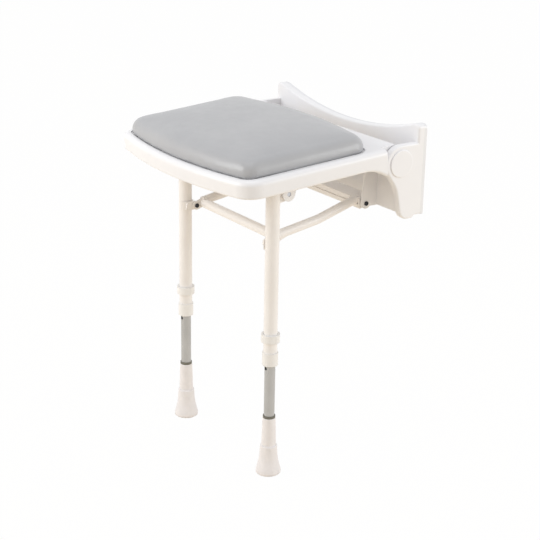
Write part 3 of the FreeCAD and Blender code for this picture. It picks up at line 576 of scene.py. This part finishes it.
def stacked_rings(
    rings: Sequence[Sequence[Vector]], closed_ends: bool = True
) -> tuple[list[Vector], list[list[int]]]:
    """Skin a stack of closed rings that all have the same number of points.

    Args:
        rings: The rings from one end to the other.
        closed_ends: True to fill the first and last ring with a fan.

    Returns:
        Points and faces.
    """
    points = [p for ring in rings for p in ring]
    count = len(rings[0])
    faces: list[list[int]] = []
    for level in range(len(rings) - 1):
        for step in range(count):
            after = (step + 1) % count
            low, high = level * count, (level + 1) * count
            faces.append([low + step, low + after, high + after, high + step])
    if closed_ends:
        for level in (0, len(rings) - 1):
            ring = rings[level]
            centre = sum(ring, Vector()) / count
            points.append(centre)
            hub = len(points) - 1
            start = level * count
            for step in range(count):
                faces.append([start + step, start + (step + 1) % count, hub])
    return points, faces


def even_steps(start: float, end: float, count: int) -> list[float]:
    """Evenly spaced numbers from start to end, both included."""
    return [start + (end - start) * step / (count - 1) for step in range(count)]


def arc_points(
    centre: Vector, radius: float, start: float, end: float, count: int
) -> list[tuple[float, float]]:
    """Points along an arc in the plan of the seat.

    Args:
        centre: Centre of the arc.
        radius: Its radius.
        start: Angle of the first point, from the X axis.
        end: Angle of the last point.
        count: Number of points.

    Returns:
        The points, both ends included.
    """
    return [
        (centre.x + radius * math.cos(angle), centre.y + radius * math.sin(angle))
        for angle in even_steps(start, end, count)
    ]


def smoothed_moves(piece: bpy.types.Object, moves: list[Vector], rounds: int) -> list[Vector]:
    """Even out how far each point of a mesh moves, against its neighbours.

    Args:
        piece: The mesh whose edges say which points are neighbours.
        moves: One move for each point.
        rounds: How often each move is averaged.

    Returns:
        The evened moves.
    """
    near: list[list[int]] = [[] for _ in moves]
    for edge in piece.data.edges:
        first, last = edge.vertices
        near[first].append(last)
        near[last].append(first)
    for _ in range(rounds):
        moves = [
            move * 0.4 + sum((moves[n] for n in around), Vector()) * (0.6 / max(1, len(around)))
            for move, around in zip(moves, near)
        ]
    return moves


def apply_modifiers(piece: bpy.types.Object) -> None:
    """Replace a piece's mesh by what its modifiers make of it.

    Args:
        piece: The piece, which ends without modifiers.
    """
    depsgraph = bpy.context.evaluated_depsgraph_get()
    made = bpy.data.meshes.new_from_object(piece.evaluated_get(depsgraph))
    old = piece.data
    piece.modifiers.clear()
    piece.data = made
    bpy.data.meshes.remove(old)


@dataclass
class Cushion:
    """The padded cushion: a crowned vinyl pad drawn in at its foot.

    Lengths are in metres, in the level frame of the seat about the hinge line.
    """

    front_edge: float = 0.339
    rear_edge: float = 0.038
    width_front: float = 0.405
    width_rear: float = 0.415
    front_bow: float = 0.024
    rear_bow: float = 0.027
    front_corner: float = 0.024
    rear_corner: float = 0.027
    corner_softening: float = 0.3
    foot: float = 0.0307
    edge_height: float = 0.0315
    crown: float = 0.009
    round_reach: float = 0.0165
    round_share: float = 0.68
    round_turn: float = math.radians(80)
    round_steps: int = 7
    foot_draw: float = 0.0020
    foot_draw_share: float = 0.25
    foot_rise_share: float = 0.12
    crown_inset: float = 0.128
    crown_steps: int = 8
    voxel: float = 0.0045
    held_height: float = 0.006
    pressure: float = 4.0
    stretch_stiffness: float = 25.0
    bend_stiffness: float = 4.0
    swell_frames: int = 20
    swell_cap: float = 0.0030
    even_rounds: int = 24
    relax_rounds: int = 3
    run_points: int = 24
    corner_steps: int = 12

    def corner_arc(
        self, bow_centre: Vector, bow_radius: float, radius: float, inset: float, rear: bool
    ) -> tuple[Vector, Vector, Vector]:
        """Corner circle that touches a bowed edge and the straight right side.

        Args:
            bow_centre: Centre of the bowed edge's circle.
            bow_radius: Radius of the bowed edge.
            radius: Radius of the corner.
            inset: Distance inside the full outline.
            rear: True for the rear corner.

        Returns:
            Centre of the corner, its touch on the bow and its touch on the side.
        """
        first = Vector((self.width_front / 2, -self.front_edge + self.front_bow))
        last = Vector((self.width_rear / 2, -self.rear_edge - self.rear_bow))
        along = (last - first).normalized()
        inward = Vector((-along.y, along.x))
        start = first + inward * (inset + radius)
        gap = start - bow_centre
        half = gap.dot(along)
        span = math.sqrt(half**2 - gap.dot(gap) + (bow_radius - radius) ** 2)
        centre = start + along * (-half + span if rear else -half - span)
        outward = (centre - bow_centre).normalized()
        return centre, centre + outward * radius, centre - inward * radius

    def outline(self, inset: float) -> list[tuple[float, float]]:
        """Plan of the cushion drawn in by an inset: bowed front and rear, straight sides.

        Args:
            inset: Distance inside the full outline.

        Returns:
            Points round the plan, in the level frame of the seat.
        """
        front_bow = ((self.width_front / 2) ** 2 + self.front_bow**2) / (2 * self.front_bow)
        rear_bow = ((self.width_rear / 2) ** 2 + self.rear_bow**2) / (2 * self.rear_bow)
        front_middle = Vector((0.0, -self.front_edge + front_bow))
        rear_middle = Vector((0.0, -self.rear_edge - rear_bow))
        half: list[tuple[float, float]] = []
        sides: list[Vector] = []
        for middle, bow, corner, rear in (
            (front_middle, front_bow - inset, self.front_corner, False),
            (rear_middle, rear_bow - inset, self.rear_corner, True),
        ):
            radius = corner + inset * self.corner_softening
            centre, on_bow, on_side = self.corner_arc(middle, bow, radius, inset, rear)
            quarter = math.pi / 2 if rear else -math.pi / 2
            reach = math.atan2(on_bow.y - middle.y, on_bow.x - middle.x)
            turn_bow = math.atan2(on_bow.y - centre.y, on_bow.x - centre.x)
            turn_side = math.atan2(on_side.y - centre.y, on_side.x - centre.x)
            run = arc_points(middle, bow, quarter, reach, self.run_points)
            run += arc_points(centre, radius, turn_bow, turn_side, self.corner_steps)[1:]
            sides.append(on_side)
            if not rear:
                half = run
                continue
            for share in even_steps(0.0, 1.0, self.run_points)[1:-1]:
                half.append(tuple(sides[0].lerp(sides[1], share)))
            half += reversed(run)
        return half + [(-x, y) for x, y in reversed(half[1:-1])]

    def rings(self) -> list[list[Vector]]:
        """Rings from the foot over the rounded edge to the middle of the crown.

        Returns:
            The rings, in the level frame of the seat.
        """
        top = self.foot + self.edge_height
        round_rise = self.edge_height * self.round_share
        foot_rise = self.edge_height * self.foot_rise_share
        levels = [
            (self.foot_draw, self.foot),
            (self.foot_draw * self.foot_draw_share, self.foot + foot_rise),
            (0.0, top - round_rise),
        ]
        for step in range(1, self.round_steps + 1):
            angle = self.round_turn * step / self.round_steps
            levels.append(
                (
                    self.round_reach * (1 - math.cos(angle)),
                    top - round_rise * (1 - math.sin(angle)),
                )
            )
        last_inset, last_height = levels[-1]
        for step in range(1, self.crown_steps + 1):
            share = step / self.crown_steps
            levels.append(
                (
                    last_inset + (self.crown_inset - last_inset) * share,
                    last_height + self.crown * math.sin(math.pi / 2 * share),
                )
            )
        return [[Vector((x, y, height)) for x, y in self.outline(gap)] for gap, height in levels]

    def swell(self, piece: bpy.types.Object) -> None:
        """Inflate the pad as cloth held along its foot, no further than the cap.

        Args:
            piece: The pad in the level frame of the seat.
        """
        remesh = piece.modifiers.new("even_mesh", "REMESH")
        remesh.mode = "VOXEL"
        remesh.voxel_size = self.voxel
        apply_modifiers(piece)
        rest = [v.co.copy() for v in piece.data.vertices]
        hold = piece.vertex_groups.new(name="foot")
        low = [v.index for v in piece.data.vertices if v.co.z < self.foot + self.held_height]
        hold.add(low, 1.0, "REPLACE")
        cloth = piece.modifiers.new("swell", "CLOTH")
        settings = cloth.settings
        settings.vertex_group_mass = hold.name
        settings.use_pressure = True
        settings.uniform_pressure_force = self.pressure
        settings.effector_weights.gravity = 0.0
        settings.tension_stiffness = self.stretch_stiffness
        settings.compression_stiffness = self.stretch_stiffness
        settings.bending_stiffness = self.bend_stiffness
        settings.quality = 5
        cloth.point_cache.frame_start = 1
        cloth.point_cache.frame_end = self.swell_frames
        for number in range(1, self.swell_frames + 1):
            bpy.context.scene.frame_set(number)
        apply_modifiers(piece)
        bpy.context.scene.frame_set(1)
        moves = []
        for vertex, start in zip(piece.data.vertices, rest):
            move = vertex.co - start
            if move.length >= self.swell_cap:
                move = move.normalized() * self.swell_cap
            moves.append(move)
        moves = smoothed_moves(piece, moves, self.even_rounds)
        for vertex, start, move in zip(piece.data.vertices, rest, moves):
            vertex.co = start + move

    def build(self, wardrobe: Wardrobe) -> bpy.types.Object:
        """Make the cushion and let it stand for the pad of the frame.

        Args:
            wardrobe: Where finishes come from.

        Returns:
            The cushion.
        """
        points, faces = stacked_rings(self.rings())
        pad = mesh_piece("Cushion_Vinyl_Pad", points, faces)
        self.swell(pad)
        smooth = pad.modifiers.new("relax", "SMOOTH")
        smooth.factor = 0.5
        smooth.iterations = self.relax_rounds
        subdivide = pad.modifiers.new("fine", "SUBSURF")
        subdivide.levels = 1
        subdivide.render_levels = 1
        apply_modifiers(pad)
        pad.data.shade_smooth()
        pad.data.transform(seat_to_row())
        wardrobe.dress(pad, Finish.VINYL)
        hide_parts("seat_pad")
        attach(pad, "seat")
        log.info("built %s", pad.name)
        return pad


@dataclass
class SeatGroup:
    """Shell, cushion board and bushes that fold with the seat."""

    cushion: Cushion = field(default_factory=Cushion)

    def build(self, wardrobe: Wardrobe) -> None:
        """Dress the shell's nodes and build the cushion.

        Args:
            wardrobe: Where finishes come from.
        """
        wardrobe.dress_node("seat_shell", Finish.WHITE_MOULDING)
        wardrobe.dress_node("pad_board", Finish.BOARD)
        wardrobe.dress_node("pad_screws", Finish.ZINC)
        for side in Side:
            wardrobe.dress_node(f"hinge_bush_outer_{side.suffix}", Finish.WHITE_NYLON)
            wardrobe.dress_node(f"hinge_bush_inner_{side.suffix}", Finish.WHITE_NYLON)
        self.cushion.build(wardrobe)


@dataclass
class BracketGroup:
    """Wall plate, moulded bracket and the fixed hinge pieces."""

    def build(self, wardrobe: Wardrobe) -> None:
        """Dress the bracket's nodes.

        Args:
            wardrobe: Where finishes come from.
        """
        wardrobe.dress_node("wall_plate", Finish.WHITE_COAT)
        wardrobe.dress_node("bracket_body", Finish.WHITE_MOULDING)
        for side in Side:
            wardrobe.dress_node(f"hinge_cap_{side.suffix}", Finish.WHITE_MOULDING)
            wardrobe.dress_node(f"hinge_pin_{side.suffix}", Finish.ZINC)
            wardrobe.dress_node(f"hinge_ring_{side.suffix}", Finish.ZINC)


@dataclass
class StrutGroup:
    """The folding strut frame with its bolts."""

    def build(self, wardrobe: Wardrobe) -> None:
        """Dress the strut frame's nodes.

        Args:
            wardrobe: Where finishes come from.
        """
        wardrobe.dress_node("strut_channel", Finish.CREAM_COAT)
        wardrobe.dress_node("strut_crossbar", Finish.CREAM_COAT)
        for side in Side:
            wardrobe.dress_node(f"strut_arm_{side.suffix}", Finish.CREAM_COAT)
            wardrobe.dress_node(f"strut_bolt_{side.suffix}", Finish.DARK_STEEL)
            wardrobe.dress_node(f"strut_nut_{side.suffix}", Finish.ZINC)


@dataclass
class LegGroup:
    """One leg with its sliding foot and height clip."""

    side: Side

    def build(self, wardrobe: Wardrobe) -> None:
        """Dress the leg's nodes.

        Args:
            wardrobe: Where finishes come from.
        """
        finishes = {
            "leg_tube": Finish.CREAM_COAT,
            "leg_plug": Finish.GREY_MOULDING,
            "leg_knuckle": Finish.CREAM_COAT,
            "leg_pin": Finish.ZINC,
            "strut_lug": Finish.CREAM_COAT,
            "lug_bolt": Finish.DARK_STEEL,
            "lug_nut": Finish.ZINC,
            "leg_sleeve": Finish.OFF_WHITE_NYLON,
            "clip_guide": Finish.OFF_WHITE_NYLON,
            "height_clip": Finish.OFF_WHITE_NYLON,
            "inner_tube": Finish.ALUMINIUM,
            "inner_tube_plug": Finish.GREY_MOULDING,
            "foot_ring": Finish.GREY_MOULDING,
            "rubber_foot": Finish.RUBBER,
        }
        for node, finish in finishes.items():
            wardrobe.dress_node(f"{node}_{self.side.suffix}", finish)


@dataclass(frozen=True)
class Lamp:
    """One soft rectangular studio lamp."""

    name: str
    place: tuple[float, float, float]
    aim: tuple[float, float, float]
    size: float
    level: float
    colour: tuple[float, float, float] = (1.0, 1.0, 1.0)

    def build(self) -> None:
        """Hang the lamp so that a facing surface gets the wanted level."""
        data = bpy.data.lights.new(self.name, "AREA")
        data.shape = "SQUARE"
        data.size = self.size
        data.color = self.colour
        way = Vector(self.aim) - Vector(self.place)
        data.energy = self.level * math.pi**2 * way.length_squared
        lamp = bpy.data.objects.new(self.name, data)
        lamp.location = self.place
        lamp.rotation_mode = "QUATERNION"
        lamp.rotation_quaternion = way.to_track_quat("-Z", "Y")
        bpy.context.scene.collection.objects.link(lamp)


@dataclass
class Studio:
    """Pale floor, plain world, soft lamps and the camera of the photograph."""

    floor_half: float = 9.0
    sky_level: float = 0.67
    sky_tint: tuple[float, float, float] = (0.985, 0.985, 1.0)
    floor_tint: tuple[float, float, float] = (0.87, 0.75, 0.58)
    floor_glow: float = 0.985
    camera_place: tuple[float, float, float] = (1.95506, -1.55886, 0.65527)
    camera_lens: float = 88.143
    camera_azimuth: float = 54.89
    camera_tilt: float = 19.73
    camera_roll: float = 1.01
    lamps: tuple[Lamp, ...] = (
        Lamp("key_lamp", (-1.2, -2.9, 1.1), (0.0, -0.2, -0.1), 1.6, 0.42, (0.96, 0.985, 1.0)),
        Lamp("top_lamp", (0.2, -0.6, 2.6), (0.0, -0.2, 0.0), 1.5, 0.14),
        Lamp("side_lamp", (1.9, 1.5, 0.7), (0.2, 0.0, 0.0), 1.2, 0.42, (0.93, 0.975, 1.0)),
    )

    def build_camera(self) -> None:
        """Place the camera as the photograph was taken."""
        azimuth = math.radians(self.camera_azimuth)
        tilt = math.radians(self.camera_tilt)
        roll = math.radians(self.camera_roll)
        forward = Vector(
            (
                -math.sin(azimuth) * math.cos(tilt),
                math.cos(azimuth) * math.cos(tilt),
                -math.sin(tilt),
            )
        )
        level_right = Vector((math.cos(azimuth), math.sin(azimuth), 0.0))
        level_up = level_right.cross(forward)
        right = math.cos(roll) * level_right + math.sin(roll) * level_up
        up = -math.sin(roll) * level_right + math.cos(roll) * level_up
        data = bpy.data.cameras.new("photo_camera")
        data.lens = self.camera_lens
        data.sensor_width = 36.0
        data.clip_end = 50.0
        camera = bpy.data.objects.new("photo_camera", data)
        camera.matrix_world = Matrix(
            (
                (right.x, up.x, -forward.x, self.camera_place[0]),
                (right.y, up.y, -forward.y, self.camera_place[1]),
                (right.z, up.z, -forward.z, self.camera_place[2]),
                (0.0, 0.0, 0.0, 1.0),
            )
        )
        bpy.context.scene.collection.objects.link(camera)
        bpy.context.scene.camera = camera

    @staticmethod
    def seen_directly(tree: bpy.types.NodeTree) -> bpy.types.NodeSocket:
        """A value of 1 on camera, glossy and transmission rays, 0 on others.

        Args:
            tree: The node tree that gets the nodes.

        Returns:
            The value.
        """
        path = tree.nodes.new("ShaderNodeLightPath")
        total = path.outputs["Is Camera Ray"]
        for name in ("Is Glossy Ray", "Is Transmission Ray"):
            sum_node = tree.nodes.new("ShaderNodeMath")
            sum_node.operation = "MAXIMUM"
            tree.links.new(total, sum_node.inputs[0])
            tree.links.new(path.outputs[name], sum_node.inputs[1])
            total = sum_node.outputs[0]
        return total

    def build_world(self) -> None:
        """White where it is seen, a plain soft level where it lights."""
        world = bpy.data.worlds.new("studio_world")
        bpy.context.scene.world = world
        world.use_nodes = True
        tree = world.node_tree
        tree.nodes.clear()
        light = tree.nodes.new("ShaderNodeBackground")
        light.inputs["Color"].default_value = (*self.sky_tint, 1.0)
        light.inputs["Strength"].default_value = self.sky_level
        white = tree.nodes.new("ShaderNodeBackground")
        white.inputs["Color"].default_value = (1.0, 1.0, 1.0, 1.0)
        white.inputs["Strength"].default_value = 1.0
        mix = tree.nodes.new("ShaderNodeMixShader")
        output = tree.nodes.new("ShaderNodeOutputWorld")
        tree.links.new(self.seen_directly(tree), mix.inputs[0])
        tree.links.new(light.outputs[0], mix.inputs[1])
        tree.links.new(white.outputs[0], mix.inputs[2])
        tree.links.new(mix.outputs[0], output.inputs["Surface"])

    def build_floor(self) -> None:
        """A pale floor that looks near white and keeps the shadow."""
        half = self.floor_half
        corners = [
            Vector((-half, -half, FLOOR_HEIGHT)),
            Vector((half, -half, FLOOR_HEIGHT)),
            Vector((half, half, FLOOR_HEIGHT)),
            Vector((-half, half, FLOOR_HEIGHT)),
        ]
        floor = mesh_piece("studio_floor", corners, [(0, 1, 2, 3)], smooth=False)
        material = bpy.data.materials.new("Studio_Floor")
        material.use_nodes = True
        tree = material.node_tree
        tree.nodes.clear()
        paint = tree.nodes.new("ShaderNodeBsdfDiffuse")
        paint.inputs["Color"].default_value = (*self.floor_tint, 1.0)
        glow = tree.nodes.new("ShaderNodeEmission")
        glow.inputs["Color"].default_value = (1.0, 1.0, 1.0, 1.0)
        glow.inputs["Strength"].default_value = 1.0
        share = tree.nodes.new("ShaderNodeMath")
        share.operation = "MULTIPLY"
        share.inputs[1].default_value = self.floor_glow
        tree.links.new(self.seen_directly(tree), share.inputs[0])
        mix = tree.nodes.new("ShaderNodeMixShader")
        output = tree.nodes.new("ShaderNodeOutputMaterial")
        tree.links.new(share.outputs[0], mix.inputs[0])
        tree.links.new(paint.outputs[0], mix.inputs[1])
        tree.links.new(glow.outputs[0], mix.inputs[2])
        tree.links.new(mix.outputs[0], output.inputs["Surface"])
        floor.data.materials.append(material)

    def build(self) -> None:
        """Set up everything round the seat."""
        bpy.context.scene.view_settings.view_transform = "Standard"
        self.build_camera()
        self.build_world()
        self.build_floor()
        for lamp in self.lamps:
            lamp.build()


def main() -> None:
    """Build the studio and every group of the seat, in order."""
    logging.basicConfig(level=logging.INFO, format="%(name)s: %(message)s")
    Studio().build()
    wardrobe = Wardrobe()
    BracketGroup().build(wardrobe)
    SeatGroup().build(wardrobe)
    StrutGroup().build(wardrobe)
    for side in Side:
        LegGroup(side).build(wardrobe)


if __name__ == "__main__":
    main()
